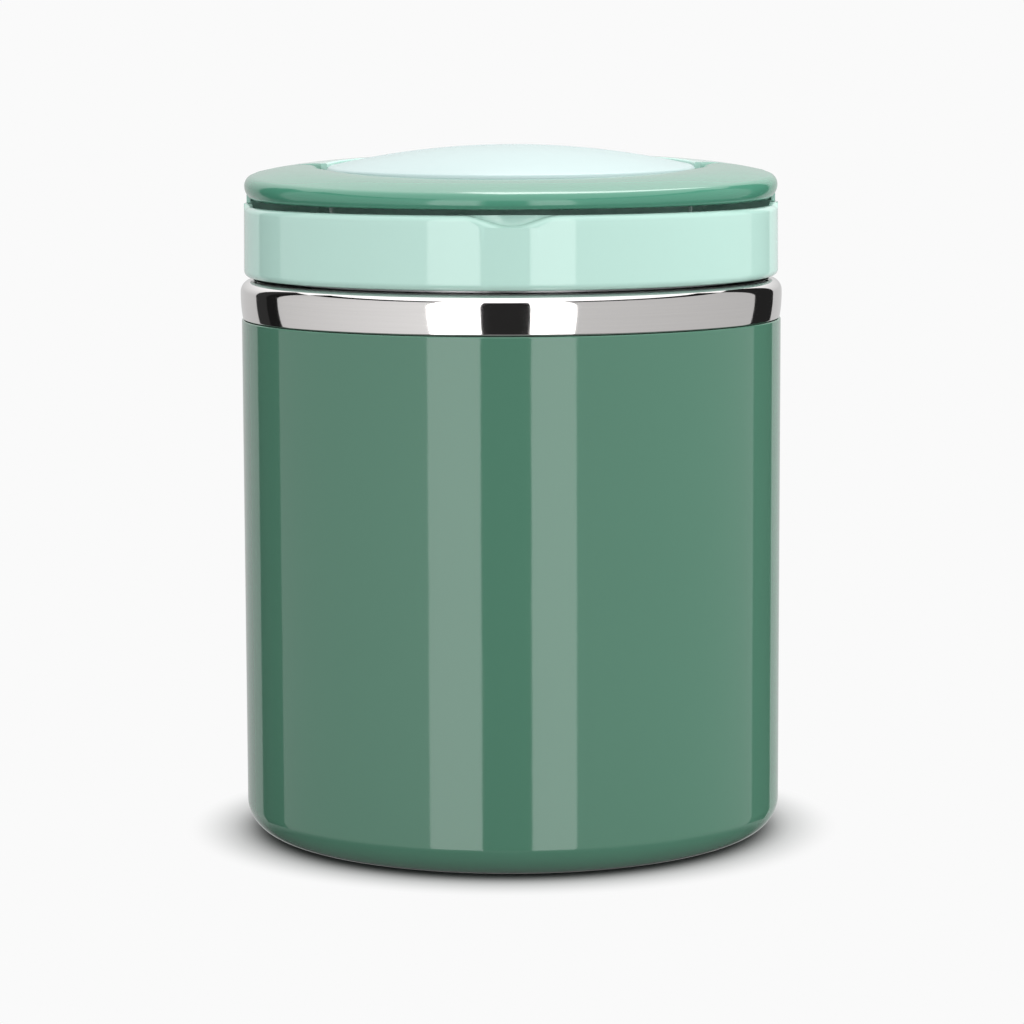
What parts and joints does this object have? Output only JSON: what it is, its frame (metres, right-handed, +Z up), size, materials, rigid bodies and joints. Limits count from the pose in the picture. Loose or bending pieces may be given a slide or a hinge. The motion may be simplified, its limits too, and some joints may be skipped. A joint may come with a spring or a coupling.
{
  "type": "insulated food jar",
  "caption": "Vacuum-insulated food jar in a gloss jacket with a polished steel collar, a screw-on lid and a carry handle that folds flat around the lid's dome.",
  "frame": {"origin": "centre of the face that the jar rests on", "axes": "+Z up along the jar's axis; the finger notch and the folded handle's bow face -Y; the handle pivots on the X direction"},
  "size_m": [0.1104, 0.1104, 0.1405],
  "materials": {
    "jacket_green": "gloss moulded shell",
    "handle_green": "gloss moulded",
    "lid_mint": "gloss moulded",
    "dome_pale": "gloss moulded",
    "collar_steel": "mirror polished stainless steel",
    "flask_steel": "brushed stainless steel",
    "vessel_steel": "electropolished stainless steel",
    "fastener_steel": "plain stainless steel",
    "copper_foil": "bright rolled foil",
    "liner_white": "satin moulded",
    "foam_white": "closed-cell foam",
    "silicone_clear": "translucent silicone",
    "silicone_grey": "matt silicone",
    "rubber_dark": "matt rubber",
    "bush_nylon": "natural nylon"
  },
  "bodies": {
    "jar": {"outer_jacket": "jacket_green", "foot_ring": "silicone_grey", "screw_cover": "silicone_grey", "base_screw": "fastener_steel", "base_washer": "fastener_steel", "bottom_cushion": "rubber_dark", "centring_ring": "rubber_dark", "seam_gasket": "rubber_dark", "collar_band": "collar_steel", "flask_shell": "flask_steel", "food_vessel": "vessel_steel", "flask_base": "flask_steel", "flask_stud": "fastener_steel", "evac_seal": "fastener_steel", "getter_capsule": "fastener_steel", "radiation_foil": "copper_foil"},
    "lid_seal": {"lid_gasket": "silicone_clear"},
    "lid": {"lid_cap": "lid_mint", "dome_cover": "dome_pale", "lid_liner": "liner_white", "lid_foam": "foam_white", "lid_screws": "fastener_steel", "pivot_bush_left": "bush_nylon", "pivot_bush_right": "bush_nylon"},
    "handle": {"handle": "handle_green", "pivot_pin_left": "fastener_steel", "pivot_pin_right": "fastener_steel"}
  },
  "joints": [
    {"name": "lid_lift", "type": "slide", "parent": "jar", "child": "lid_seal", "axis": [0, 0, 1], "range_m": [0, 0.016]},
    {"name": "lid_turn", "type": "hinge", "parent": "lid_seal", "child": "lid", "pos_m": [0, 0, 0.1192], "axis": [0, 0, 1], "range_deg": [0, 360]},
    {"name": "handle_fold", "type": "hinge", "parent": "lid", "child": "handle", "pos_m": [0, 0, 0.1324], "axis": [-1, 0, 0], "range_deg": [0, 90]}
  ],
  "couplings": [
    {"joint": "lid_lift", "follows": "lid_turn", "m_per_rad": 0.002546}
  ]
}
